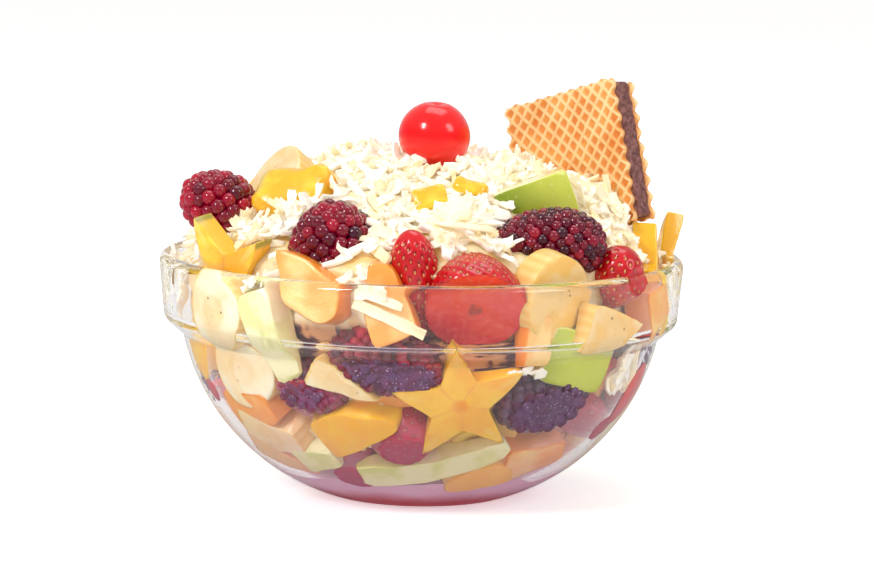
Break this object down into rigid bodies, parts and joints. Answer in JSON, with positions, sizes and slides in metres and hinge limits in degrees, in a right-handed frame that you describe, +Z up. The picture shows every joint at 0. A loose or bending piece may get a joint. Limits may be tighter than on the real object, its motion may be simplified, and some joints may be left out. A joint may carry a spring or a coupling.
{
  "type": "fruit salad in glass bowl",
  "caption": "Clear glass bowl heaped with mixed cut fruit and grated cheese, topped with berries, fruit slices, a glazed cherry and a filled wafer.",
  "frame": {"origin": "middle of the bowl's flat foot, on the surface that it stands on", "axes": "+Z up along the bowl's axis, -Y towards the front, +X to the right seen from the front"},
  "size_m": [0.17, 0.17, 0.1367],
  "materials": {
    "bowl_glass": "clear polished pressed glass, smooth inside and out",
    "grated_cheese": "soft white grated cheese over mixed diced fruit, moist, stands in for food",
    "cherry_red": "glazed cherry, very glossy, slightly translucent",
    "bramble_dark": "dark bramble drupelets, glossy, red where ripe skin is thin",
    "strawberry_red": "strawberry skin with seeds and a paler cut face, wet",
    "banana_flesh": "banana flesh, soft satin",
    "mango_flesh": "mango flesh, wet and slightly translucent",
    "papaya_flesh": "papaya flesh, wet, orange with a paler rim",
    "apple_green": "green apple skin, satin gloss, and cream flesh",
    "starfruit_yellow": "starfruit flesh, wet, yellow with greenish ridges",
    "wafer_baked": "baked waffle sheet, dry, golden brown with darker hollows",
    "chocolate_cream": "chocolate cream filling, dull",
    "berry_juice": "thin red fruit juice pooled in the bottom of the bowl"
  },
  "bodies": {
    "root": {"bowl": "bowl_glass", "salad_heap": "grated_cheese", "cherry": "cherry_red", "wafer_sheet_front": "wafer_baked", "wafer_sheet_back": "wafer_baked", "wafer_cream": "chocolate_cream", "bramble_front": "bramble_dark", "bramble_left": "bramble_dark", "bramble_right": "bramble_dark", "bramble_back": "bramble_dark", "strawberry_front": "strawberry_red", "strawberry_centre": "strawberry_red", "strawberry_right": "strawberry_red", "strawberry_back": "strawberry_red", "banana_left": "banana_flesh", "banana_right": "banana_flesh", "banana_back": "banana_flesh", "mango_left": "mango_flesh", "mango_back": "mango_flesh", "papaya_left": "papaya_flesh", "papaya_centre": "papaya_flesh", "starfruit_left": "starfruit_yellow", "starfruit_right": "starfruit_yellow", "starfruit_side": "starfruit_yellow", "starfruit_back": "starfruit_yellow", "apple_top": "apple_green"}
  },
  "joints": []
}
